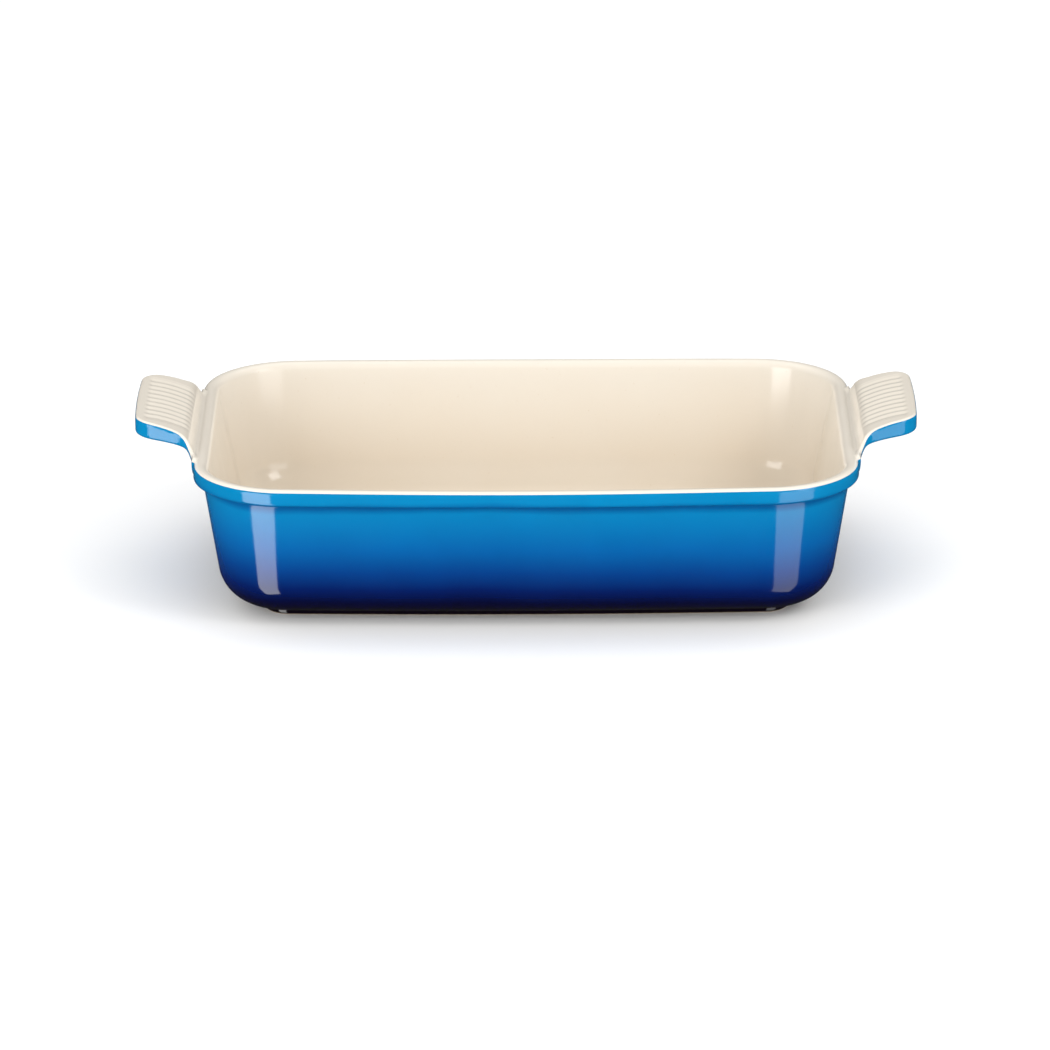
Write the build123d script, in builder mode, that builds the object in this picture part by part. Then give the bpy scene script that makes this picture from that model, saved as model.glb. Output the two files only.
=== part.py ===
from build123d import *
import math
import os

os.makedirs("parts", exist_ok=True)

# Oven dish in glazed stoneware: rectangular basin, collared rim, two wave handles.
# Millimetres. The table is z = 0 under the foot, X runs from handle to handle.

# ---- overall ------------------------------------------------------------------
rim_length = 278.0          # outside the collar, along X
rim_width = 188.0           # outside the collar at the middle of the long sides
rim_height = 64.0           # crest of the lip above the table
corner_radius = 40.0        # plan corner of the rim
side_bow = 2.0              # the long sides swell this much in plan
glaze = 0.6                 # coat thickness everywhere

# ---- lip and collar -----------------------------------------------------------
lip_thickness = 6.6
lip_outer_radius = 2.5
lip_flat = 0.4              # level crest between the two roundings
collar_drop = 5.7           # crest of the lip to the end of the collar face
collar_edge_radius = 1.2
groove_drop = 7.7           # crest of the lip to the bottom of the groove
groove_inset = 4.0
colour_break = 50.0         # cream gives way to blue this far round the lip, degrees

# ---- wall, belly and foot -----------------------------------------------------
outer_draft = 9.0
outer_belly_radius = 17.5
inner_draft = 11.0
inner_belly_radius = 18.0
floor_height = 8.0
foot_height = 3.8
foot_step = 1.7             # the foot stands in from the end of the belly curve
foot_ring_width = 4.6
foot_edge_radius = 1.5
foot_inner_radius = 0.8
foot_bare_height = 0.6      # wiped clean of glaze below this line
recess_height = 1.6         # underside of the floor above the table
slab_margin = 0.2           # the swept wall gives way to a flat slab this far inside the foot
section_tail = 2.0

# ---- handles ------------------------------------------------------------------
handle_reach = 25.4         # ends of the tip edge beyond the rim; its bow adds a little
handle_root_width = 96.0
handle_root_sink = 4.0      # the root is bedded this far into the lip
flare_radius = 11.5         # plan curve from the rim into the grip
grip_taper = 10.0
grip_corner_radius = 10.0
tip_bow = 2.5
top_valley = (-1.3, -0.5)   # hollow beside the lip: outward from the rim, up from the crest
top_valley_radius = 1.4
top_rise_slope = 62.0
top_rise_length = 4.3
top_bend_radius = 8.0
top_level_slope = 24.0
top_tip_slope = 2.5
under_valley = (-0.4, -5.2)
under_valley_radius = 1.4
under_rise_slope = 66.0
under_rise_length = 4.2
under_bend_radius = 4.0
under_level_slope = 14.0
under_tip_slope = 3.0
handle_edge_radius = 1.25

# ---- ribs on the handle tops, parted by grooves ---------------------------------
groove_count = 10
groove_pitch = 5.6
groove_radius = 2.2
groove_depth = 0.6
groove_end_slope = 6.5      # the grooves stop where the grip has levelled to this slope
cut_margin = 0.01

# ---- plan outline -------------------------------------------------------------
half_length = rim_length / 2
half_width = rim_width / 2
corner_x = half_length - corner_radius
side_radius = (corner_x**2 + side_bow**2) / (2 * side_bow)
side_centre_y = side_radius - half_width
corner_y = math.sqrt((side_radius - corner_radius) ** 2 - corner_x**2) - side_centre_y


def outline(inset):
    """Closed plan outline of tangent arcs, moved inward; starts mid front."""
    lean = math.asin(corner_x / (side_radius - corner_radius))
    reach = side_radius - inset
    bend_x = reach * math.sin(lean)
    bend_y = reach * math.cos(lean) - side_centre_y
    mid_x = reach * math.sin(lean / 2)
    mid_y = reach * math.cos(lean / 2) - side_centre_y
    turn = lean + (math.pi / 2 - lean) / 2
    knee_x = corner_x + (corner_radius - inset) * math.sin(turn)
    knee_y = corner_y + (corner_radius - inset) * math.cos(turn)
    front = half_width - inset
    side = half_length - inset
    ThreePointArc((0, -front), (mid_x, -mid_y), (bend_x, -bend_y))
    ThreePointArc((bend_x, -bend_y), (knee_x, -knee_y), (side, -corner_y))
    Line((side, -corner_y), (side, corner_y))
    ThreePointArc((side, corner_y), (knee_x, knee_y), (bend_x, bend_y))
    ThreePointArc((bend_x, bend_y), (0, front), (-bend_x, bend_y))
    ThreePointArc((-bend_x, bend_y), (-knee_x, knee_y), (-side, corner_y))
    Line((-side, corner_y), (-side, -corner_y))
    ThreePointArc((-side, -corner_y), (-knee_x, -knee_y), (-bend_x, -bend_y))
    ThreePointArc((-bend_x, -bend_y), (-mid_x, -mid_y), (0, -front))


# ---- cross section of the dish: inset across, height up -------------------------
def belly_centre(inset, height, bottom, draft, radius):
    """Inset of the centre of a belly curve tangent to a drafted wall and a level."""
    fall = height - bottom - radius
    return inset + fall * math.tan(draft) + radius / math.cos(draft)


outer_lean = math.radians(outer_draft)
inner_lean = math.radians(inner_draft)
groove_height = rim_height - groove_drop
outer_belly_z = foot_height + outer_belly_radius
outer_belly_x = belly_centre(groove_inset, groove_height, foot_height, outer_lean, outer_belly_radius)
lip_flat_end = lip_outer_radius + lip_flat
lip_inner_radius = lip_thickness - lip_flat_end
lip_end_x = lip_flat_end + lip_inner_radius * math.cos(inner_lean)
lip_end_z = rim_height - lip_inner_radius * (1 - math.sin(inner_lean))
inner_belly_z = floor_height + inner_belly_radius
inner_belly_x = belly_centre(lip_end_x, lip_end_z, floor_height, inner_lean, inner_belly_radius)
foot_inset = outer_belly_x + foot_step
foot_inner_inset = foot_inset + foot_ring_width
slab_inset = foot_inner_inset + slab_margin
section_end = slab_inset + section_tail


def belly_point(centre_x, centre_z, radius, degrees):
    """Point on a belly curve, 0 degrees level with its centre, 90 at the bottom."""
    angle = math.radians(degrees)
    return (centre_x - radius * math.cos(angle), centre_z - radius * math.sin(angle))


def lip_point(centre_x, radius, degrees):
    """Point on a lip curve, 0 degrees at the crest, positive toward the inside."""
    angle = math.radians(degrees)
    return (centre_x + radius * math.sin(angle), rim_height - radius * (1 - math.cos(angle)))


with BuildSketch() as dish_section:
    with BuildLine():
        foot_side = (foot_inset, foot_edge_radius)
        foot_under = (foot_inset + foot_edge_radius, 0)
        RadiusArc(foot_under, foot_side, foot_edge_radius, short_sagitta=True)
        Line(foot_side, (foot_inset, foot_height))
        Line((foot_inset, foot_height), (outer_belly_x, foot_height))
        outer_mid = belly_point(outer_belly_x, outer_belly_z, outer_belly_radius, 45 + outer_draft / 2)
        outer_top = belly_point(outer_belly_x, outer_belly_z, outer_belly_radius, outer_draft)
        ThreePointArc((outer_belly_x, foot_height), outer_mid, outer_top)
        Line(outer_top, (groove_inset, groove_height))
        collar_low = (collar_edge_radius, rim_height - collar_drop - collar_edge_radius)
        collar_side = (0, rim_height - collar_drop)
        Line((groove_inset, groove_height), collar_low)
        RadiusArc(collar_low, collar_side, collar_edge_radius, short_sagitta=True)
        Line(collar_side, (0, rim_height - lip_outer_radius))
        lip_outer_mid = lip_point(lip_outer_radius, lip_outer_radius, -45)
        ThreePointArc((0, rim_height - lip_outer_radius), lip_outer_mid, (lip_outer_radius, rim_height))
        Line((lip_outer_radius, rim_height), (lip_flat_end, rim_height))
        lip_inner_mid = lip_point(lip_flat_end, lip_inner_radius, 45 - inner_draft / 2)
        ThreePointArc((lip_flat_end, rim_height), lip_inner_mid, (lip_end_x, lip_end_z))
        inner_mid = belly_point(inner_belly_x, inner_belly_z, inner_belly_radius, 45 + inner_draft / 2)
        inner_top = belly_point(inner_belly_x, inner_belly_z, inner_belly_radius, inner_draft)
        Line((lip_end_x, lip_end_z), inner_top)
        ThreePointArc(inner_top, inner_mid, (inner_belly_x, floor_height))
        Line((inner_belly_x, floor_height), (section_end, floor_height))
        Line((section_end, floor_height), (section_end, recess_height))
        Line((section_end, recess_height), (foot_inner_inset, recess_height))
        Line((foot_inner_inset, recess_height), (foot_inner_inset, foot_inner_radius))
        foot_inner_under = (foot_inner_inset - foot_inner_radius, 0)
        RadiusArc((foot_inner_inset, foot_inner_radius), foot_inner_under, foot_inner_radius)
        Line(foot_inner_under, foot_under)
    make_face()

# ---- cross section split into clay and its three coats --------------------------
with BuildSketch() as clay_section:
    add(dish_section.sketch)
    offset(amount=-glaze, kind=Kind.INTERSECTION)
    with BuildSketch(mode=Mode.PRIVATE) as bare_foot:
        add(dish_section.sketch)
        with Locations((foot_inset + foot_ring_width / 2, 0)):
            Rectangle(2 * foot_ring_width, 2 * foot_bare_height, mode=Mode.INTERSECT)
    add(bare_foot.sketch)
    with Locations((slab_inset, 0)):
        Rectangle(rim_height, 3 * rim_height, align=(Align.MIN, Align.CENTER), mode=Mode.SUBTRACT)

with BuildSketch() as coat_section:
    add(dish_section.sketch)
    add(clay_section.sketch, mode=Mode.SUBTRACT)
    with Locations((slab_inset, 0)):
        Rectangle(rim_height, 3 * rim_height, align=(Align.MIN, Align.CENTER), mode=Mode.SUBTRACT)

foot_middle = foot_inset + foot_ring_width / 2
floor_middle = (recess_height + floor_height) / 2
break_angle = math.radians(colour_break)
break_far = 3 * lip_outer_radius
belly_core_radius = (outer_belly_radius + inner_belly_radius) / 2
lip_centre_z = rim_height - lip_outer_radius
break_x = lip_outer_radius - break_far * math.sin(break_angle)
break_z = lip_centre_z + break_far * math.cos(break_angle)
with BuildSketch() as blue_zone:
    with BuildLine():
        Polyline(
            (foot_middle, -glaze),
            (foot_middle, floor_middle),
            belly_point(outer_belly_x, inner_belly_z, inner_belly_radius, 75),
            belly_point(outer_belly_x, inner_belly_z, belly_core_radius, 50),
            ((outer_top[0] + inner_top[0]) / 2, (outer_top[1] + inner_top[1]) / 2),
            ((groove_inset + lip_end_x) / 2, groove_height),
            (lip_outer_radius, lip_centre_z),
            (break_x, break_z),
            (-break_far, lip_centre_z),
            (-break_far, -glaze),
            close=True,
        )
    make_face()

with BuildSketch() as under_zone:
    with BuildLine():
        Polyline(
            (foot_middle, -glaze),
            (foot_middle, floor_middle),
            (section_end, floor_middle),
            (section_end, -glaze),
            close=True,
        )
    make_face()

with BuildSketch() as blue_section:
    add(coat_section.sketch)
    add(blue_zone.sketch, mode=Mode.INTERSECT)

with BuildSketch() as under_section:
    add(coat_section.sketch)
    add(under_zone.sketch, mode=Mode.INTERSECT)

with BuildSketch() as cream_section:
    add(coat_section.sketch)
    add(blue_zone.sketch, mode=Mode.SUBTRACT)
    add(under_zone.sketch, mode=Mode.SUBTRACT)

# ---- handle shape -------------------------------------------------------------
def slope_normal(degrees):
    """Unit normal above a curve that climbs at this slope."""
    angle = math.radians(degrees)
    return (-math.sin(angle), math.cos(angle))


def arc_step(point, radius, slope_from, slope_to):
    """End of an arc that starts at the point; hollow arcs have a positive radius."""
    start = slope_normal(slope_from)
    end = slope_normal(slope_to)
    return (point[0] + radius * (start[0] - end[0]), point[1] + radius * (start[1] - end[1]))


def grip_line(valley, hollow_radius, rise, length, bend_radius, level, last):
    """A line of the grip in side view: hollow, straight rise, bend, long flat arc to the tip."""
    start = (half_length + valley[0], rim_height + valley[1])
    rise_foot = arc_step(start, hollow_radius, 0, rise)
    slope = math.radians(rise)
    rise_top = (rise_foot[0] + length * math.cos(slope), rise_foot[1] + length * math.sin(slope))
    bend_end = arc_step(rise_top, -bend_radius, rise, level)
    sine_gap = math.sin(math.radians(level)) - math.sin(math.radians(last))
    grip_radius = (half_length + handle_reach - bend_end[0]) / sine_gap
    hollow = (start, hollow_radius, 0, rise)
    bend = (rise_top, -bend_radius, rise, level)
    grip = (bend_end, -grip_radius, level, last)
    return (hollow, bend, grip)


def arc_points(arc, distance):
    """Start, middle and end of one arc of a grip line, moved along its normals."""
    point, radius, slope_from, slope_to = arc
    places = []
    for slope in (slope_from, (slope_from + slope_to) / 2, slope_to):
        spot = arc_step(point, radius, slope_from, slope)
        normal = slope_normal(slope)
        places.append((spot[0] + distance * normal[0], spot[1] + distance * normal[1]))
    return places


top_line = grip_line(
    top_valley,
    top_valley_radius,
    top_rise_slope,
    top_rise_length,
    top_bend_radius,
    top_level_slope,
    top_tip_slope,
)
under_line = grip_line(
    under_valley,
    under_valley_radius,
    under_rise_slope,
    under_rise_length,
    under_bend_radius,
    under_level_slope,
    under_tip_slope,
)
root_x = half_length - handle_root_sink


def draw_line(line, distance, overrun):
    """Draws a grip line from its root to beyond its tip; gives its two ends."""
    hollow, bend, grip = [arc_points(arc, distance) for arc in line]
    tip_slope = math.radians(line[2][3])
    root = (root_x, hollow[0][1])
    beyond = (grip[2][0] + overrun * math.cos(tip_slope), grip[2][1] + overrun * math.sin(tip_slope))
    Line(root, hollow[0])
    ThreePointArc(*hollow)
    Line(hollow[2], bend[0])
    ThreePointArc(*bend)
    ThreePointArc(*grip)
    Line(grip[2], beyond)
    return root, beyond


def grip_band(inside_top, inside_bottom, overrun):
    """Closed side view of the grip, drawn in from its top and from its underside."""
    high_root, high_end = draw_line(top_line, -inside_top, overrun)
    low_root, low_end = draw_line(under_line, inside_bottom, overrun)
    Line(high_end, low_end)
    Line(low_root, high_root)


# Plan of the grip: a flare out of the rim, a tapering side, a round corner, a bowed tip.
flare_end_x = half_length + flare_radius * (1 - math.sin(math.radians(grip_taper)))
flare_end_y = handle_root_width / 2 - flare_radius * math.cos(math.radians(grip_taper))
corner_turn = 90 - grip_taper - tip_bow
corner_gain = math.cos(math.radians(tip_bow)) - math.sin(math.radians(grip_taper))
side_run_x = handle_reach - (flare_end_x - half_length) - grip_corner_radius * corner_gain
side_run = side_run_x / math.cos(math.radians(grip_taper))


with BuildSketch() as grip_plan:
    with BuildLine():
        root_edge = Line((root_x, handle_root_width / 2), (half_length, handle_root_width / 2))
        flare = JernArc(root_edge @ 1, (0, -1), flare_radius, 90 - grip_taper)
        grip_side = PolarLine(flare @ 1, side_run, angle=-grip_taper)
        tip_corner = JernArc(grip_side @ 1, grip_side % 1, grip_corner_radius, -corner_turn)
        tip_start = tip_corner @ 1
        TangentArc(tip_start, (tip_start.X, -tip_start.Y), tangent=tip_corner % 1)
        mirror(grip_side, about=Plane.XZ)
        mirror(tip_corner, about=Plane.XZ)
        mirror(flare, about=Plane.XZ)
        mirror(root_edge, about=Plane.XZ)
        Line((root_x, -handle_root_width / 2), (root_x, handle_root_width / 2))
    make_face()

# ---- handle solids, right side; the left ones are mirrored ----------------------
grip_overrun = 2 * grip_corner_radius


def side_edges(solid, plan):
    """Edges along the sides and the tip of a grip cut to this plan, none of them upright."""
    outer = [e for e in plan.edges() if (e @ 0.5).X > half_length]
    found = []
    for edge in solid.edges():
        middle = edge @ 0.5
        run = math.hypot((edge @ 0).X - (edge @ 1).X, (edge @ 0).Y - (edge @ 1).Y)
        beside = min(e.distance_to(Vector(middle.X, middle.Y, 0)) for e in outer)
        if run > cut_margin and beside < cut_margin and middle.X > half_length:
            found.append(edge)
    return found


def grip_solid(inside_top, inside_bottom, shrink, edge_radius):
    """The grip drawn in from its top, its underside and its plan, its edges rounded."""
    with BuildPart() as grip:
        with BuildSketch(Plane.XZ):
            with BuildLine():
                grip_band(inside_top, inside_bottom, grip_overrun)
            make_face()
        extrude(amount=handle_root_width, both=True)
        with BuildSketch(Plane.XY) as cut_plan:
            add(grip_plan.sketch)
            offset(amount=-shrink)
        extrude(amount=2 * rim_height, mode=Mode.INTERSECT)
        if edge_radius > 0:
            fillet(side_edges(grip, cut_plan.sketch), edge_radius)
    return grip.part


def rib_cutters(radius, lengthen):
    """Round bars along the grip that leave the ribs between them."""
    lift = groove_radius - groove_depth
    hollow, bend, grip = top_line
    low = arc_points(hollow, lift)[2]
    bend_course = arc_points(bend, lift)
    grip_course = arc_points((*grip[:3], groove_end_slope), lift)
    high = bend_course[0]
    back = lengthen / top_rise_length
    start = (low[0] - back * (high[0] - low[0]), low[1] - back * (high[1] - low[1]))
    finish = grip_course[2]
    tail_x = (lengthen + cut_margin) * math.cos(math.radians(groove_end_slope))
    tail_z = (lengthen + cut_margin) * math.sin(math.radians(groove_end_slope))
    rise_way = (math.cos(math.radians(top_rise_slope)), 0, math.sin(math.radians(top_rise_slope)))
    start_plane = Plane(origin=(start[0], 0, start[1]), x_dir=(0, 1, 0), z_dir=rise_way)
    with BuildPart() as bar:
        with BuildLine(Plane.XZ) as bar_path:
            Line(start, high)
            ThreePointArc(*bend_course)
            ThreePointArc(*grip_course)
            Line(finish, (finish[0] + tail_x, finish[1] + tail_z))
        with BuildSketch(start_plane):
            Circle(radius)
        sweep(path=bar_path.wire())
    first = -groove_pitch * (groove_count - 1) / 2
    return [Pos(0, first + groove_pitch * step, 0) * bar.part for step in range(groove_count)]


# ---- dish ---------------------------------------------------------------------
with BuildLine() as rim_path:
    outline(0)

section_plane = Plane(origin=(0, -half_width, 0), x_dir=(0, 1, 0), z_dir=(1, 0, 0))


def ring_and_slab(section, slab_low, slab_high):
    """A section swept round the rim, with a flat slab that fills its middle."""
    with BuildPart() as shell:
        with BuildSketch(section_plane):
            add(section.sketch)
        sweep(path=rim_path.wire())
        if slab_high > slab_low:
            with BuildSketch(Plane.XY.offset(slab_low)):
                with BuildLine():
                    outline(slab_inset)
                make_face()
            extrude(amount=slab_high - slab_low)
    return shell.part


clay = ring_and_slab(clay_section, recess_height + glaze, floor_height - glaze)
cream = ring_and_slab(cream_section, floor_height - glaze, floor_height)
under = ring_and_slab(under_section, recess_height, recess_height + glaze)
blue = ring_and_slab(blue_section, 0, 0)

# ---- right handle: clay core, blue coat below and round the edge, cream coat on top ----
grip_form = grip_solid(0, 0, 0, handle_edge_radius)
grip_core = grip_solid(glaze, glaze, glaze, handle_edge_radius - glaze)
grip_below = grip_solid(glaze, 0, 0, 0)

with BuildPart() as ribbed_form:
    add(grip_form)
    add(rib_cutters(groove_radius, 0), mode=Mode.SUBTRACT)

with BuildPart() as ribbed_core:
    add(grip_core)
    add(rib_cutters(groove_radius + glaze, glaze), mode=Mode.SUBTRACT)

with BuildPart() as lower_coat:
    add(grip_form)
    add(grip_below, mode=Mode.INTERSECT)
    add(grip_core, mode=Mode.SUBTRACT)

with BuildPart() as upper_coat:
    add(ribbed_form.part)
    add(ribbed_core.part, mode=Mode.SUBTRACT)
    add(lower_coat.part, mode=Mode.SUBTRACT)

both_cores = [ribbed_core.part, ribbed_core.part.mirror(Plane.YZ)]

# ---- sub-parts ------------------------------------------------------------------
with BuildPart() as stoneware_body:
    add(clay)
stoneware_body.part.label = "stoneware_body"
export_step(stoneware_body.part, "parts/stoneware_body.step")

with BuildPart() as cream_inside_glaze:
    add(cream)
    add(both_cores, mode=Mode.SUBTRACT)
cream_inside_glaze.part.label = "cream_inside_glaze"
export_step(cream_inside_glaze.part, "parts/cream_inside_glaze.step")

with BuildPart() as blue_outside_glaze:
    add(blue)
    add(both_cores, mode=Mode.SUBTRACT)
blue_outside_glaze.part.label = "blue_outside_glaze"
export_step(blue_outside_glaze.part, "parts/blue_outside_glaze.step")

with BuildPart() as underside_glaze:
    add(under)
underside_glaze.part.label = "underside_glaze"
export_step(underside_glaze.part, "parts/underside_glaze.step")

with BuildPart() as right_handle:
    add(ribbed_core.part)
    add(clay, mode=Mode.SUBTRACT)
right_handle.part.label = "right_handle"
export_step(right_handle.part, "parts/right_handle.step")

with BuildPart() as right_handle_blue_glaze:
    add(lower_coat.part)
    add([clay, blue, cream], mode=Mode.SUBTRACT)
right_handle_blue_glaze.part.label = "right_handle_blue_glaze"
export_step(right_handle_blue_glaze.part, "parts/right_handle_blue_glaze.step")

with BuildPart() as right_handle_cream_glaze:
    add(upper_coat.part)
    add([clay, blue, cream], mode=Mode.SUBTRACT)
right_handle_cream_glaze.part.label = "right_handle_cream_glaze"
export_step(right_handle_cream_glaze.part, "parts/right_handle_cream_glaze.step")

with BuildPart() as left_handle:
    mirror(right_handle.part, about=Plane.YZ)
left_handle.part.label = "left_handle"
export_step(left_handle.part, "parts/left_handle.step")

with BuildPart() as left_handle_blue_glaze:
    mirror(right_handle_blue_glaze.part, about=Plane.YZ)
left_handle_blue_glaze.part.label = "left_handle_blue_glaze"
export_step(left_handle_blue_glaze.part, "parts/left_handle_blue_glaze.step")

with BuildPart() as left_handle_cream_glaze:
    mirror(right_handle_cream_glaze.part, about=Plane.YZ)
left_handle_cream_glaze.part.label = "left_handle_cream_glaze"
export_step(left_handle_cream_glaze.part, "parts/left_handle_cream_glaze.step")
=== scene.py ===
import math

import bmesh
import bpy
import numpy as np
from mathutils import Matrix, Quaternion, Vector


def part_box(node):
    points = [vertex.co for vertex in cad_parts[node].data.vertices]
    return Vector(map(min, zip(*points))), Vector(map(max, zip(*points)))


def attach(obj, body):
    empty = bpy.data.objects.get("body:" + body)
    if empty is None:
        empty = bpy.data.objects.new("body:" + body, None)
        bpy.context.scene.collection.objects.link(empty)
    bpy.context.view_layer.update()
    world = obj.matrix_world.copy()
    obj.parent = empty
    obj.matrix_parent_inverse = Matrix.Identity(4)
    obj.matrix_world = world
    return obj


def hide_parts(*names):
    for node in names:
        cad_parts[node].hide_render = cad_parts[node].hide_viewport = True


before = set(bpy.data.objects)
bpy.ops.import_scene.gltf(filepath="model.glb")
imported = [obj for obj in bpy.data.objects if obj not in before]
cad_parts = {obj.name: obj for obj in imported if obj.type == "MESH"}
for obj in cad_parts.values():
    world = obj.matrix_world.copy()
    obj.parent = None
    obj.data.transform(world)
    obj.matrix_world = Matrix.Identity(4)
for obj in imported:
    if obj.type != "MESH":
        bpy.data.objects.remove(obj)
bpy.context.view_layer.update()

# A glazed stoneware oven dish: cream inside and over the lip, shaded blue outside.
# Shapes are worked out in millimetres, which MM turns into metres. Materials, floor,
# lights and camera are in metres.
MM = 0.001

# ---- sizes read from the frame --------------------------------------------------
_, blue_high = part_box("blue_outside_glaze")
cream_low, cream_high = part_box("cream_inside_glaze")
_, body_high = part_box("stoneware_body")
_, tip_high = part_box("right_handle_blue_glaze")
HALF_LENGTH = blue_high.x / MM
HALF_WIDTH = blue_high.y / MM
RIM = cream_high.z / MM
COAT = RIM - body_high.z / MM
FLOOR = cream_low.z / MM + COAT
REACH = tip_high.x / MM - HALF_LENGTH
ROOT_HALF = tip_high.y / MM

# ---- the dish's own radii and slopes ---------------------------------------------
CORNER = 40.0
BOW = 2.0
SAG = 0.45                  # the fired rim settles this much mid side
LIP_OUT = 2.5
LIP = 6.6
LIP_FLAT = 0.4
LIP_IN = LIP - LIP_OUT - LIP_FLAT
COLLAR_DROP = 5.7
COLLAR_EDGE = 1.2
GROOVE_DROP = 7.7
GROOVE_IN = 4.0
GROOVE_FILLET = 1.1
BREAK = math.radians(50)    # cream gives way to blue this far round the lip
OUT_DRAFT = math.radians(9)
IN_DRAFT = math.radians(11)
OUT_BELLY = 17.5
IN_BELLY = 18.0
FOOT = 3.8
FOOT_STEP = 1.7
FOOT_EDGE = 1.5
FOOT_ROOT = 0.8
SOLE_WRAP = math.radians(128)   # the foot's rounding ends here, turned under the foot
FLOOR_INSET = 34.0
COAT_BACK = COAT * 0.9      # a coat's back lies this far behind its face
FLOOR_RINGS = (0.86, 0.7, 0.52, 0.34, 0.18, 0.06)   # shares of the floor's edge ring


# ---- plan outline: tangent arcs, moved inward by an inset ---------------------------
corner_x = HALF_LENGTH - CORNER
side_radius = (corner_x**2 + BOW**2) / (2 * BOW)
side_centre = side_radius - HALF_WIDTH
corner_y = math.sqrt((side_radius - CORNER) ** 2 - corner_x**2) - side_centre
lean = math.asin(corner_x / (side_radius - CORNER))


def outline(inset, long_steps=44, corner_steps=30, short_steps=36):
    """Points round the plan, from the middle of the front, anticlockwise."""
    side = np.linspace(0, lean, long_steps, endpoint=False)
    turn = np.linspace(lean, math.pi / 2, corner_steps, endpoint=False)
    reach = side_radius - inset
    bend = CORNER - inset
    front = np.stack([reach * np.sin(side), side_centre - reach * np.cos(side)], 1)
    corner = np.stack([corner_x + bend * np.sin(turn), -corner_y - bend * np.cos(turn)], 1)
    end_y = np.linspace(-corner_y, 0, short_steps, endpoint=False)
    end = np.stack([np.full(short_steps, HALF_LENGTH - inset), end_y], 1)
    quarter = np.concatenate([front, corner, end])
    mid_end = np.array([[HALF_LENGTH - inset, 0.0]])
    mid_back = np.array([[0.0, HALF_WIDTH - inset]])
    half = np.concatenate([quarter, mid_end, quarter[:0:-1] * (1, -1), mid_back])
    return np.concatenate([half, half[-2:0:-1] * (-1, 1)])


def inset_of(x, y):
    """How far inside the rim outline a point lies, near the short ends and corners."""
    x, y = np.abs(x), np.abs(y)
    round_corner = CORNER - np.hypot(x - corner_x, y - corner_y)
    return np.where(y <= corner_y, HALF_LENGTH - x, round_corner)


# ---- cross section: inset across, height up -------------------------------------------
def arc(centre, radius, start, end, steps):
    """Points on an arc; angles run from straight up toward the inside of the dish."""
    t = np.linspace(start, end, steps)
    return np.stack([centre[0] + radius * np.sin(t), centre[1] + radius * np.cos(t)], 1)


def straight(start, end, steps):
    """Evenly spaced points between two ends, without the ends."""
    t = np.linspace(0, 1, steps + 2)[1:-1, None]
    return np.array(start) * (1 - t) + np.array(end) * t


def rounded(before, corner, after, radius, steps):
    """A corner between two directions turned into an arc of the radius."""
    before, corner, after = np.array(before), np.array(corner), np.array(after)
    d1 = (corner - before) / np.linalg.norm(corner - before)
    d2 = (after - corner) / np.linalg.norm(after - corner)
    turn = math.atan2(d1[0] * d2[1] - d1[1] * d2[0], d1 @ d2)
    start = corner - d1 * radius * math.tan(abs(turn) / 2)
    left = np.array([-d1[1], d1[0]]) * math.copysign(1, turn)
    t = np.linspace(0, abs(turn), steps)[:, None]
    return start + radius * (left * (1 - np.cos(t)) + d1 * np.sin(t))


def belly_centre(inset, height, bottom, draft, radius):
    """Centre of a belly curve tangent to a drafted wall and to a level."""
    fall = height - bottom - radius
    return (inset + fall * math.tan(draft) + radius / math.cos(draft), bottom + radius)


def section():
    """Cream and blue parts of the glazed surface, blue from the foot up, cream to the floor."""
    half_turn = math.pi / 2
    groove = (GROOVE_IN, RIM - GROOVE_DROP)
    collar = (0, RIM - COLLAR_DROP - COLLAR_EDGE * 0.6)
    out_belly = belly_centre(groove[0], groove[1], FOOT, OUT_DRAFT, OUT_BELLY)
    foot_x = out_belly[0] + FOOT_STEP
    sole = arc((foot_x + FOOT_EDGE, FOOT_EDGE), FOOT_EDGE, -SOLE_WRAP, -half_turn, 5)
    root = rounded((foot_x, 0), (foot_x, FOOT), (out_belly[0], FOOT), FOOT_ROOT, 6)
    belly = arc(out_belly, OUT_BELLY, -math.pi, -half_turn - OUT_DRAFT, 30)
    hollow = rounded(belly[-1], groove, collar, GROOVE_FILLET, 9)
    edge = rounded(groove, collar, (0, RIM), COLLAR_EDGE, 9)
    lip_low = arc((LIP_OUT, RIM - LIP_OUT), LIP_OUT, -half_turn, -BREAK, 7)
    wall = straight(belly[-1], hollow[0], 26)
    face = straight(edge[-1], lip_low[0], 6)
    blue = np.concatenate([sole, root, belly, wall, hollow, edge, face, lip_low])
    lip_high = arc((LIP_OUT, RIM - LIP_OUT), LIP_OUT, -BREAK, 0, 8)
    top = straight((LIP_OUT, RIM), (LIP - LIP_IN, RIM), 1)
    lip_end = arc((LIP - LIP_IN, RIM - LIP_IN), LIP_IN, 0, half_turn - IN_DRAFT, 10)
    in_belly = belly_centre(lip_end[-1][0], lip_end[-1][1], FLOOR, IN_DRAFT, IN_BELLY)
    bowl = arc(in_belly, IN_BELLY, -half_turn - IN_DRAFT, -math.pi, 30)
    inner = straight(lip_end[-1], bowl[0], 26)
    flat = np.array([[FLOOR_INSET, FLOOR]])
    cream = np.concatenate([lip_high, top, lip_end, inner, bowl, flat])
    return cream, blue


def sag(x, z):
    """The rim's settling: deepest mid side, gone at the corners and at the foot."""
    across = np.clip(1 - (x / corner_x) ** 2, 0, 1) ** 1.5
    return SAG * across * np.clip(z / RIM, 0, 1) ** 2


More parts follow.
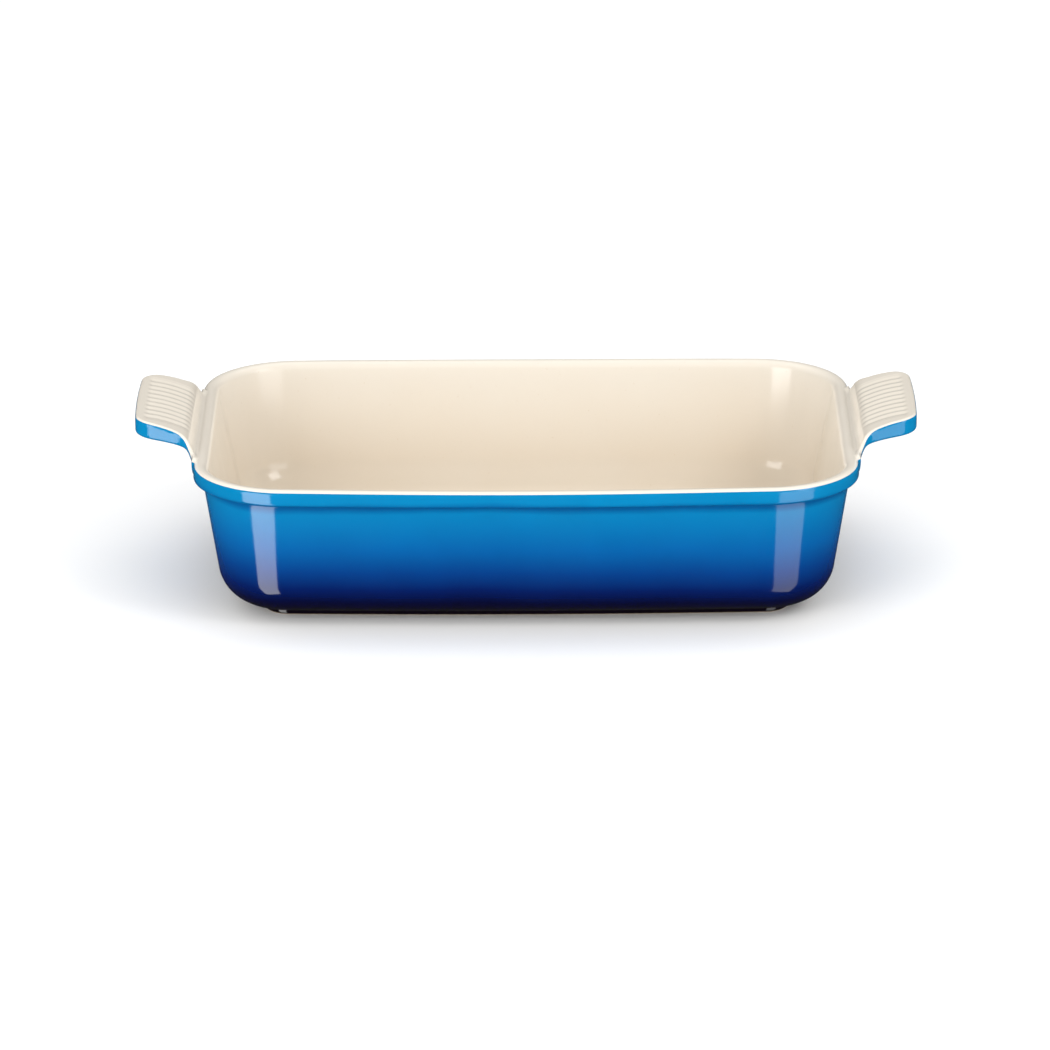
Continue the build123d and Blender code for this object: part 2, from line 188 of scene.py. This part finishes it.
# ---- mesh helpers ---------------------------------------------------------------------------
def new_piece(name, points, faces, material, sharp=math.radians(35), turn_out=True):
    """A mesh object from millimetre points, smooth but for edges sharper than the angle."""
    mesh = bpy.data.meshes.new(name)
    mesh.from_pydata((np.asarray(points) * MM).tolist(), [], faces)
    built = bmesh.new()
    built.from_mesh(mesh)
    bmesh.ops.remove_doubles(built, verts=built.verts, dist=1e-7)
    bmesh.ops.dissolve_degenerate(built, edges=built.edges, dist=1e-7)
    if turn_out:
        bmesh.ops.recalc_face_normals(built, faces=built.faces)
    for face in built.faces:
        face.smooth = True
    for e in built.edges:
        e.smooth = len(e.link_faces) < 2 or e.calc_face_angle(0) < sharp
    built.to_mesh(mesh)
    built.free()
    piece = bpy.data.objects.new(name, mesh)
    bpy.context.scene.collection.objects.link(piece)
    mesh.materials.append(material)
    return piece


def swept_coat(name, profile, material, floor=False):
    """A closed coat: the profile swept round the rim, with a back COAT_BACK behind it."""
    step = np.gradient(profile, axis=0)
    normal = np.stack([-step[:, 1], step[:, 0]], 1)
    normal /= np.linalg.norm(normal, axis=1)[:, None]
    back = profile - normal * COAT_BACK
    loop = np.concatenate([profile, back[::-1]])
    rings = []
    for inset, z in loop:
        ring = outline(inset)
        height = z - sag(ring[:, 0], z)
        rings.append(np.column_stack([ring, height]))
    around = len(rings[0])
    points = np.concatenate(rings)
    count = len(loop)
    faces = []
    for i in range(count):
        j = (i + 1) % count
        if floor and i == len(profile) - 1:
            continue
        for a in range(around):
            b = (a + 1) % around
            faces.append((i * around + a, i * around + b, j * around + b, j * around + a))
    if floor:
        start = len(points)
        for side, height in ((len(profile) - 1, FLOOR), (len(profile), FLOOR - COAT_BACK)):
            edge_ring = rings[side]
            previous = side * around
            for share in FLOOR_RINGS:
                ring = edge_ring * (share, share, 1)
                first = len(points)
                points = np.concatenate([points, ring])
                for a in range(around):
                    b = (a + 1) % around
                    faces.append((previous + a, previous + b, first + b, first + a))
                previous = first
            faces.append(tuple(range(previous, previous + around)))
    return new_piece(name, points, faces, material)


# ---- handles: one smooth surface that grows out of the rim ------------------------------------
ROOT_SINK = 4.0             # the grip is bedded this far into the lip
FLARE = 11.5
TAPER = math.radians(10)
GRIP_CORNER = 10.0
TIP_BOW = math.radians(2.5)
BOW_OUT = 0.6               # middle of the tip beyond its ends
# Each line of the grip in side view: start, hollow radius, rise slope and length,
# bend radius, slope after the bend, slope at the tip.
TOP = ((-1.3, -0.5), 1.4, 62, 4.3, 8.0, 24, 2.5)
UNDER = ((-0.4, -5.2), 1.4, 66, 4.2, 4.0, 14, 3)
EDGE = 1.6                  # rounding of the grip's edges
BLEND = 1.8                 # fillet where the grip leaves the rim
ROOT_BLEND = 2.4            # and this much wider at the two ends of its root
RIBS = 10
RIB_PITCH = 5.6
RIB_DEPTH = 0.34
FIELD_DEPTH = 0.12          # the ribbed field lies this far below its border
FIELD_START = (9.5, 15.5)   # it fades in over this stretch of the top line
FIELD_END = (3.6, 6.0)      # and out over this one, measured back from the tip
FIELD_SIDE = (-0.2, 1.6)    # and sideways, from the outermost rib
PROBE = 0.05                # step to each side when a slope is measured
OFF_DISH = 0.006            # faces with no corner this far off the dish belong to the dish
CELL = 0.62                 # grid of the handle surface
CREAM_WRAP = 0.6            # the cream reaches this far round the grip's edge
NECK_WRAP = 1.0             # and this much further beside the neck


def grip_line(start, hollow, rise, length, bend, level, last):
    """A line of the grip in side view, rising from the rim to the tip."""
    rise, level, last = (math.radians(slope) for slope in (rise, level, last))
    start = np.array([HALF_LENGTH + start[0], RIM + start[1]])
    bend_x = start[0] + hollow * math.sin(rise) + length * math.cos(rise)
    bend_x += bend * (math.sin(rise) - math.sin(level))
    grip = (HALF_LENGTH + REACH - BOW_OUT - bend_x) / (math.sin(level) - math.sin(last))
    points = [start - (ROOT_SINK, 0), start]
    arcs = ((hollow, 0, rise, 8), (-bend, rise, level, 14), (-grip, level, last, 24))
    for radius, slope_from, slope_to, steps in arcs:
        base = points[-1]
        for slope in np.linspace(slope_from, slope_to, steps)[1:]:
            dx = math.sin(slope) - math.sin(slope_from)
            dz = math.cos(slope_from) - math.cos(slope)
            points.append(base + radius * np.array([dx, dz]))
        if radius == hollow:
            points.append(points[-1] + length * np.array([math.cos(rise), math.sin(rise)]))
    points.append(points[-1] + 8 * np.array([math.cos(last), math.sin(last)]))
    return np.array(points)


def grip_plan():
    """Half of the grip's plan, from its root on the rim to the middle of its tip."""
    flare_t = np.linspace(0, math.pi / 2 - TAPER, 14)
    flare_x = HALF_LENGTH + FLARE - FLARE * np.cos(flare_t)
    flare = np.stack([flare_x, ROOT_HALF - FLARE * np.sin(flare_t)], 1)
    gain = GRIP_CORNER * (math.cos(TIP_BOW) - math.sin(TAPER))
    run = (HALF_LENGTH + REACH - BOW_OUT - flare[-1, 0] - gain) / math.cos(TAPER)
    start = flare[-1] + run * np.array([math.cos(TAPER), -math.sin(TAPER)])
    centre = start - GRIP_CORNER * np.array([math.sin(TAPER), math.cos(TAPER)])
    turn = np.linspace(TAPER, math.pi / 2 - TIP_BOW, 14)[1:]
    corner = centre + GRIP_CORNER * np.stack([np.sin(turn), np.cos(turn)], 1)
    tip_y = np.linspace(corner[-1, 1], 0, 8)[1:]
    tip_x = HALF_LENGTH + REACH - BOW_OUT * (tip_y / corner[-1, 1]) ** 2
    root = np.array([[HALF_LENGTH - ROOT_SINK, ROOT_HALF]])
    return np.concatenate([root, flare, start[None], corner, np.stack([tip_x, tip_y], 1)])


def to_segments(points, line, closed=False):
    """Distance to a polyline, the side it falls on (+1 left), and the run along it."""
    starts = line if closed else line[:-1]
    ends = np.roll(line, -1, axis=0) if closed else line[1:]
    best = np.full(len(points), 1e9)
    side = np.ones(len(points))
    run = np.zeros(len(points))
    travelled = 0.0
    for a, b in zip(starts, ends):
        d = b - a
        length = np.hypot(*d)
        if length < 1e-6:
            continue
        t = np.clip(((points - a) @ d) / length**2, 0, 1)
        away = points - a - t[:, None] * d
        gap = np.hypot(away[:, 0], away[:, 1])
        near = gap < best - 1e-9
        best[near] = gap[near]
        side[near] = np.sign(d[0] * away[near, 1] - d[1] * away[near, 0])
        run[near] = travelled + t[near] * length
        travelled += length
    return best, side, run


def smooth_min(a, b, reach):
    h = np.clip(0.5 + 0.5 * (b - a) / reach, 0, 1)
    return b * (1 - h) + a * h - reach * h * (1 - h)


def ramp(value, low, high):
    t = np.clip((value - low) / (high - low), 0, 1)
    return t * t * (3 - 2 * t)


cream_line, blue_line = section()
top_line = grip_line(*TOP)
low_line = grip_line(*UNDER)
plan = grip_plan()
plan_ring = np.concatenate([plan, plan[-2::-1] * (1, -1)])
dish_ring = np.concatenate([blue_line, cream_line])


def dish_distance(p):
    """Signed distance to the glazed dish near its rim, negative inside the wall."""
    flat = np.stack([inset_of(p[:, 0], p[:, 1]), p[:, 2]], 1)
    gap, side, _ = to_segments(flat, dish_ring)
    return gap * side


def grip_distance(p):
    """Signed distance to the grip with its ribs, negative inside."""
    gap, side, run = to_segments(p[:, [0, 2]], top_line)
    low_gap, low_side, _ = to_segments(p[:, [0, 2]], low_line)
    beside, plan_side, _ = to_segments(p[:, :2], plan_ring)
    beside = beside * plan_side
    tip_gap = HALF_LENGTH + REACH - p[:, 0]
    along = ramp(run, *FIELD_START) * ramp(tip_gap, *FIELD_END)
    phase = p[:, 1] / RIB_PITCH + 0.5 * (RIBS % 2 == 0)
    fade = [RIBS * RIB_PITCH / 2 + side_gap for side_gap in FIELD_SIDE]
    inner = 1 - ramp(np.abs(p[:, 1]), *fade)
    groove = np.cos(math.pi * (phase - np.round(phase))) ** 2
    cut = along * inner * (FIELD_DEPTH + RIB_DEPTH * groove)
    slab = np.maximum(gap * side + cut, -low_gap * low_side)
    slab = np.maximum(slab, HALF_LENGTH - ROOT_SINK - p[:, 0])
    a, b = slab + EDGE, beside + EDGE
    return np.hypot(np.maximum(a, 0), np.maximum(b, 0)) + np.minimum(np.maximum(a, b), 0) - EDGE


def handle_distance(p):
    """Dish and grip in one, with a fillet that dies out toward the crest of the lip."""
    wider = ROOT_BLEND * ramp(np.abs(p[:, 1]), ROOT_HALF - 9, ROOT_HALF - 1)
    reach = 0.02 + (BLEND + wider) * ramp(p[:, 0] - HALF_LENGTH, -2.4, -0.4)
    return smooth_min(dish_distance(p), grip_distance(p), reach)


def slope_of(distance, points):
    """Gradient of a distance function at the points."""
    step = np.eye(3) * PROBE
    return np.stack([(distance(points + d) - distance(points - d)) / (2 * PROBE) for d in step], 1)


def surface_net(distance, low, high, cell):
    """Quads over the zero of a distance function inside a box, pulled onto it."""
    counts = np.ceil((high - low) / cell).astype(int) + 1
    axes = [low[i] + cell * np.arange(counts[i]) for i in range(3)]
    grid = np.stack(np.meshgrid(*axes, indexing="ij"), -1)
    value = distance(grid.reshape(-1, 3)).reshape(counts)
    inside = value < 0
    corners = [(i, j, k) for i in (0, 1) for j in (0, 1) for k in (0, 1)]
    cells = tuple(c - 1 for c in counts)

    def corner_of(array, offset):
        i, j, k = offset
        return array[i:i + cells[0], j:j + cells[1], k:k + cells[2]]

    total = sum(corner_of(inside, c).astype(int) for c in corners)
    mixed = (total > 0) & (total < 8)
    index = -np.ones(cells, int)
    index[mixed] = np.arange(mixed.sum())
    place = np.zeros((mixed.sum(), 3))
    weight = np.zeros(mixed.sum())
    for c in corners:
        for axis in range(3):
            if c[axis]:
                continue
            other = tuple(1 if n == axis else c[n] for n in range(3))
            va, vb = corner_of(value, c)[mixed], corner_of(value, other)[mixed]
            crosses = (va < 0) != (vb < 0)
            share = np.where(crosses, va / np.where(crosses, va - vb, 1), 0)
            spot = np.tile(np.array(c, float), (len(va), 1))
            spot[:, axis] += share
            place[crosses] += spot[crosses]
            weight += crosses
    base = np.argwhere(mixed)
    points = low + cell * (base + place / weight[:, None])
    for _ in range(3):      # short Newton steps onto the surface
        here = distance(points)
        slope = slope_of(distance, points)
        size = np.maximum((slope**2).sum(1), 0.2)
        points = points - np.clip(here / size, -0.3, 0.3)[:, None] * slope
    faces = []
    for axis in range(3):
        u, v = (axis + 1) % 3, (axis + 2) % 3
        span = [slice(1, c - 1) for c in counts]
        span[axis] = slice(0, counts[axis] - 1)
        first = inside[tuple(span)]
        ahead = list(span)
        ahead[axis] = slice(1, counts[axis])
        second = inside[tuple(ahead)]
        where = np.argwhere(first != second) + [s.start for s in span]
        out = first[tuple((where - [s.start for s in span]).T)]
        ring = []
        for du, dv in ((1, 1), (0, 1), (0, 0), (1, 0)):
            at = where.copy()
            at[:, u] -= du
            at[:, v] -= dv
            ring.append(index[tuple(at.T)])
        ring = np.stack(ring, 1)
        ring[~out] = ring[~out][:, ::-1]
        faces.append(ring)
    return points, np.concatenate(faces)


def cream_side(p):
    """Positive where the cream glaze lies: over the lip and the grip's top, just round its edges."""
    gap, side, _ = to_segments(p[:, [0, 2]], top_line)
    beside, plan_side, _ = to_segments(p[:, :2], plan_ring)
    out = p[:, 0] - HALF_LENGTH
    wrap = CREAM_WRAP + NECK_WRAP * (1 - ramp(out, 1.0, 8.0)) + ramp(-beside * plan_side, 1.6, 2.6)
    on_lip = p[:, 2] - RIM + LIP_OUT * (1 - math.cos(BREAK))
    on_grip = ramp(dish_distance(p), 0, 3.0)
    return on_lip * (1 - on_grip) + (gap * side + wrap) * on_grip


def split_at(points, faces, mask):
    """Triangles on the positive side of the mask, cut exactly where it changes sign."""
    tris = np.concatenate([faces[:, [0, 1, 2]], faces[:, [0, 2, 3]]])
    kept, extra, made = [], [], {}
    total = len(points)

    def crossing(a, b):
        key = (min(a, b), max(a, b))
        if key not in made:
            t = mask[a] / (mask[a] - mask[b])
            made[key] = total + len(extra)
            extra.append(points[a] * (1 - t) + points[b] * t)
        return made[key]

    for tri in tris:
        positive = [mask[v] > 0 for v in tri]
        if all(positive):
            kept.append(tuple(int(v) for v in tri))
        elif any(positive):
            ring = []
            for i in range(3):
                a, b = int(tri[i]), int(tri[(i + 1) % 3])
                if mask[a] > 0:
                    ring.append(a)
                if (mask[a] > 0) != (mask[b] > 0):
                    ring.append(crossing(a, b))
            kept.append(tuple(ring))
    used = sorted({v for f in kept for v in f})
    renumber = {v: i for i, v in enumerate(used)}
    everything = np.concatenate([points, np.array(extra)]) if extra else points
    return everything[used], [tuple(renumber[v] for v in f) for f in kept]


def handle_pieces():
    """Cream and blue halves of the right handle, in millimetres."""
    low = np.array([HALF_LENGTH - 6.5, -ROOT_HALF - 8.0, RIM - 14.0])
    high = np.array([HALF_LENGTH + REACH + 2.0, ROOT_HALF + 8.0, RIM + 15.0])
    points, quads = surface_net(handle_distance, low, high, CELL)
    off_dish = dish_distance(points)
    quads = quads[(off_dish[quads] > OFF_DISH).any(1)]
    mask = cream_side(points)
    return split_at(points, quads, mask), split_at(points, quads, -mask)


def set_normals(piece, mirror):
    """Shading normals straight from the distance function, so patches meet without a seam."""
    at = np.array([v.co for v in piece.data.vertices]) / MM * (mirror, 1, 1)
    normals = slope_of(handle_distance, at)
    normals /= np.linalg.norm(normals, axis=1)[:, None]
    piece.data.normals_split_custom_set_from_vertices((normals * (mirror, 1, 1)).tolist())


# ---- materials ---------------------------------------------------------------------------------
def graph(name):
    """A new node material; returns it with helpers that add and link nodes."""
    material = bpy.data.materials.new(name)
    material.use_nodes = True
    tree = material.node_tree
    shader = tree.nodes["Principled BSDF"]

    def add(kind, inputs=(), **settings):
        node = tree.nodes.new(kind)
        for key, value in settings.items():
            setattr(node, key, value)
        for key, value in dict(inputs).items():
            if isinstance(value, bpy.types.NodeSocket):
                tree.links.new(value, node.inputs[key])
            else:
                node.inputs[key].default_value = value
        return node

    return material, tree, shader, add


def noise(add, place, scale, detail=3.0, rough=0.5):
    inputs = {"Vector": place, "Scale": scale, "Detail": detail, "Roughness": rough}
    return add("ShaderNodeTexNoise", inputs).outputs["Fac"]


def maths(add, operation, a, b=0.0, c=0.0):
    return add("ShaderNodeMath", {0: a, 1: b, 2: c}, operation=operation).outputs[0]


def glaze_bump(add, tree, shader, place, ripple=0.25, peel=0.06):
    """The slow ripple and fine orange peel of a fired glaze."""
    slow = noise(add, place, 22.0, 1.0)
    fine = noise(add, place, 420.0, 2.0)
    first = add("ShaderNodeBump", {"Height": slow, "Strength": ripple, "Distance": 0.0012})
    peeled = {"Height": fine, "Strength": peel, "Distance": 0.00012, "Normal": first.outputs[0]}
    second = add("ShaderNodeBump", peeled)
    tree.links.new(second.outputs[0], shader.inputs["Normal"])


def cream_glaze():
    material, tree, shader, add = graph("cream_glaze")
    place = add("ShaderNodeTexCoord").outputs["Object"]
    cloud = noise(add, place, 16.0, 4.0)
    height = add("ShaderNodeSeparateXYZ", {"Vector": place}).outputs["Z"]
    rise = add("ShaderNodeMapRange", {"Value": height, "From Min": 0.008, "From Max": RIM * MM})
    spread = maths(add, "MULTIPLY_ADD", cloud, 0.5, -0.25)
    tone = add("ShaderNodeValToRGB", {"Fac": maths(add, "ADD", rise.outputs[0], spread)})
    tone.color_ramp.elements[0].position = 0.0
    tone.color_ramp.elements[0].color = (0.685, 0.590, 0.468, 1)
    tone.color_ramp.elements[1].position = 0.95
    tone.color_ramp.elements[1].color = (0.722, 0.668, 0.584, 1)
    grains = noise(add, place, 900.0, 2.0)
    specks = maths(add, "MULTIPLY", maths(add, "GREATER_THAN", grains, 0.735), 0.25)
    speck_colour = (0.55, 0.42, 0.27, 1)
    speckled = add("ShaderNodeMix", {0: specks, 6: tone.outputs[0], 7: speck_colour}, data_type="RGBA")
    tree.links.new(speckled.outputs[2], shader.inputs["Base Color"])
    smear = noise(add, place, 35.0, 3.0)
    gloss = add("ShaderNodeMapRange", {"Value": smear, "To Min": 0.09, "To Max": 0.17})
    tree.links.new(gloss.outputs[0], shader.inputs["Roughness"])
    shader.inputs["IOR"].default_value = 1.52
    glaze_bump(add, tree, shader, place)
    return material


BLUES = (
    (0.00, (0.0040, 0.0010, 0.0040)),
    (0.09, (0.0025, 0.0010, 0.0090)),
    (0.17, (0.0008, 0.0018, 0.0270)),
    (0.27, (0.0005, 0.0090, 0.0850)),
    (0.40, (0.0005, 0.0360, 0.1800)),
    (0.58, (0.0005, 0.0900, 0.2900)),
    (0.83, (0.0006, 0.1560, 0.3600)),
    # These two rows darken a band at the groove under the collar: partly glaze pooled in the groove,
    # partly painted shade in the groove.
    (0.87, (0.0004, 0.0820, 0.2450)),
    (0.89, (0.0004, 0.0820, 0.2450)),
    (0.93, (0.0008, 0.1640, 0.3600)),
    (1.00, (0.0010, 0.1800, 0.3800)),
)


def blue_glaze():
    """Blue that deepens from azure at the rim to near black at the foot."""
    material, tree, shader, add = graph("blue_glaze")
    place = add("ShaderNodeTexCoord").outputs["Object"]
    height = add("ShaderNodeSeparateXYZ", {"Vector": place}).outputs["Z"]
    drift = maths(add, "MULTIPLY_ADD", noise(add, place, 14.0, 3.0), 0.006, -0.003)
    shaded = maths(add, "ADD", height, drift)
    level = add("ShaderNodeMapRange", {"Value": shaded, "From Min": 0.0, "From Max": RIM * MM})
    tone = add("ShaderNodeValToRGB", {"Fac": level.outputs[0]})
    elements = tone.color_ramp.elements
    while len(elements) < len(BLUES):
        elements.new(0.5)
    for element, (position, colour) in zip(elements, BLUES):
        element.position = position
        element.color = (*colour, 1)
    cloud = noise(add, place, 60.0, 4.0)
    vary = add("ShaderNodeMapRange", {"Value": cloud, "To Min": 0.93, "To Max": 1.07})
    tinted = add("ShaderNodeVectorMath", {0: tone.outputs[0]}, operation="SCALE")
    tree.links.new(vary.outputs[0], tinted.inputs["Scale"])
    tree.links.new(tinted.outputs[0], shader.inputs["Base Color"])
    smear = noise(add, place, 35.0, 3.0)
    gloss = add("ShaderNodeMapRange", {"Value": smear, "To Min": 0.06, "To Max": 0.13})
    tree.links.new(gloss.outputs[0], shader.inputs["Roughness"])
    shader.inputs["IOR"].default_value = 1.52
    glaze_bump(add, tree, shader, place)
    return material


def bare_clay_painted_shade():
    material, tree, shader, add = graph("bare_clay_painted_shade")
    place = add("ShaderNodeTexCoord").outputs["Object"]
    grain = noise(add, place, 700.0, 5.0, 0.65)
    tone = add("ShaderNodeValToRGB", {"Fac": grain})
    # Painted shade: both clay tones are kept dark so the bare foot ring, which sits in the shadow under
    # the dish, shows no light line.
    tone.color_ramp.elements[0].position = 0.3
    tone.color_ramp.elements[0].color = (0.26, 0.20, 0.14, 1)
    tone.color_ramp.elements[1].position = 0.72
    tone.color_ramp.elements[1].color = (0.38, 0.30, 0.215, 1)
    tree.links.new(tone.outputs[0], shader.inputs["Base Color"])
    gloss = add("ShaderNodeMapRange", {"Value": grain, "To Min": 0.72, "To Max": 0.9})
    tree.links.new(gloss.outputs[0], shader.inputs["Roughness"])
    bump = add("ShaderNodeBump", {"Height": grain, "Strength": 0.5, "Distance": 0.0003})
    tree.links.new(bump.outputs[0], shader.inputs["Normal"])
    return material


# ---- pieces --------------------------------------------------------------------------------------
cream = cream_glaze()
blue = blue_glaze()
clay = bare_clay_painted_shade()


def place_piece(piece, slot, *nodes):
    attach(piece, "root")
    if nodes:
        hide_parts(*nodes)


dish_cream = swept_coat("dish_cream_glaze", cream_line, cream, floor=True)
dish_blue = swept_coat("dish_blue_glaze", blue_line, blue)
place_piece(dish_cream, "cream_glaze", "cream_inside_glaze")
place_piece(dish_blue, "blue_glaze", "blue_outside_glaze")

(cream_points, cream_faces), (blue_points, blue_faces) = handle_pieces()
for side, mirror in (("right", 1), ("left", -1)):
    flip = (mirror, 1, 1)
    cream_ring = [f[::mirror] for f in cream_faces]
    blue_ring = [f[::mirror] for f in blue_faces]
    top = new_piece(f"{side}_handle_cream", cream_points * flip, cream_ring, cream, turn_out=False)
    under = new_piece(f"{side}_handle_blue", blue_points * flip, blue_ring, blue, turn_out=False)
    set_normals(top, mirror)
    set_normals(under, mirror)
    place_piece(top, "cream_glaze", f"{side}_handle_cream_glaze")
    place_piece(under, "blue_glaze", f"{side}_handle_blue_glaze", f"{side}_handle")

for node, material in (("stoneware_body", clay), ("underside_glaze", blue)):
    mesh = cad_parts[node].data
    mesh.materials.clear()
    mesh.materials.append(material)


# ---- floor, lights and camera, in metres --------------------------------------------------------------
SKY = 0.84
SKY_SEEN_IN_GLAZE = 0.03    # a dim sky in reflections keeps the blue deep
ELEVATION = math.radians(17.8)
DISTANCE = 2.93
LENS = 236.6
ROLL = 0.0044
AIM_DROP = 0.0435
AIM_LEFT = 0.0006


def stage_floor():
    mesh = bpy.data.meshes.new("studio_floor")
    half = 12.0
    corners = [(-half, -half, 0), (half, -half, 0), (half, half, 0), (-half, half, 0)]
    mesh.from_pydata(corners, [], [(0, 1, 2, 3)])
    floor = bpy.data.objects.new("studio_floor", mesh)
    bpy.context.scene.collection.objects.link(floor)
    material, _, shader, _ = graph("studio_floor")
    shader.inputs["Base Color"].default_value = (0.98, 0.975, 0.965, 1)
    shader.inputs["Roughness"].default_value = 0.7
    shader.inputs["Specular IOR Level"].default_value = 0.15
    mesh.materials.append(material)
    floor.visible_glossy = False


def softbox(name, place, target, width, height, power):
    data = bpy.data.lights.new(name, "AREA")
    data.shape = "RECTANGLE"
    data.size = width
    data.size_y = height
    data.energy = power
    lamp = bpy.data.objects.new(name, data)
    bpy.context.scene.collection.objects.link(lamp)
    lamp.location = place
    lamp.rotation_euler = (Vector(target) - Vector(place)).to_track_quat("-Z", "Y").to_euler()
    return lamp


def studio():
    world = bpy.data.worlds.new("studio")
    world.use_nodes = True
    tree = world.node_tree
    sky = tree.nodes["Background"]
    sky.inputs["Color"].default_value = (1, 1, 1, 1)
    path = tree.nodes.new("ShaderNodeLightPath")
    dim = tree.nodes.new("ShaderNodeMapRange")
    dim.inputs["To Min"].default_value = SKY
    dim.inputs["To Max"].default_value = SKY_SEEN_IN_GLAZE
    tree.links.new(path.outputs["Is Glossy Ray"], dim.inputs["Value"])
    tree.links.new(dim.outputs[0], sky.inputs["Strength"])
    bpy.context.scene.world = world
    softbox("front", (-0.6, -2.3, 1.35), (0, 0, 0), 1.6, 1.2, 10).visible_glossy = False
    softbox("right_fill", (1.5, -0.9, 1.5), (-0.1, 0, 0), 0.8, 0.8, 10)
    softbox("overhead", (0, 0.9, 2.2), (0, 0.3, 0), 3.0, 1.6, 12)
    softbox("left_panel", (-0.85, -1.0, -0.5), (0, 0, -0.5), 0.75, 2.6, 28)
    softbox("right_panel", (0.85, -1.0, -0.5), (0, 0, -0.5), 0.95, 2.6, 15)


def camera():
    data = bpy.data.cameras.new("camera")
    data.lens = LENS
    data.sensor_width = 36
    view = bpy.data.objects.new("camera", data)
    bpy.context.scene.collection.objects.link(view)
    centre = Vector((-AIM_LEFT, 0, RIM * MM))
    view.location = centre + DISTANCE * Vector((0, -math.cos(ELEVATION), math.sin(ELEVATION)))
    target = centre - AIM_DROP * Vector((0, math.sin(ELEVATION), math.cos(ELEVATION)))
    turn = (target - view.location).to_track_quat("-Z", "Y") @ Quaternion((0, 0, 1), -ROLL)
    view.rotation_euler = turn.to_euler()
    bpy.context.scene.camera = view


stage_floor()
studio()
camera()
bpy.context.scene.view_settings.view_transform = "Standard"
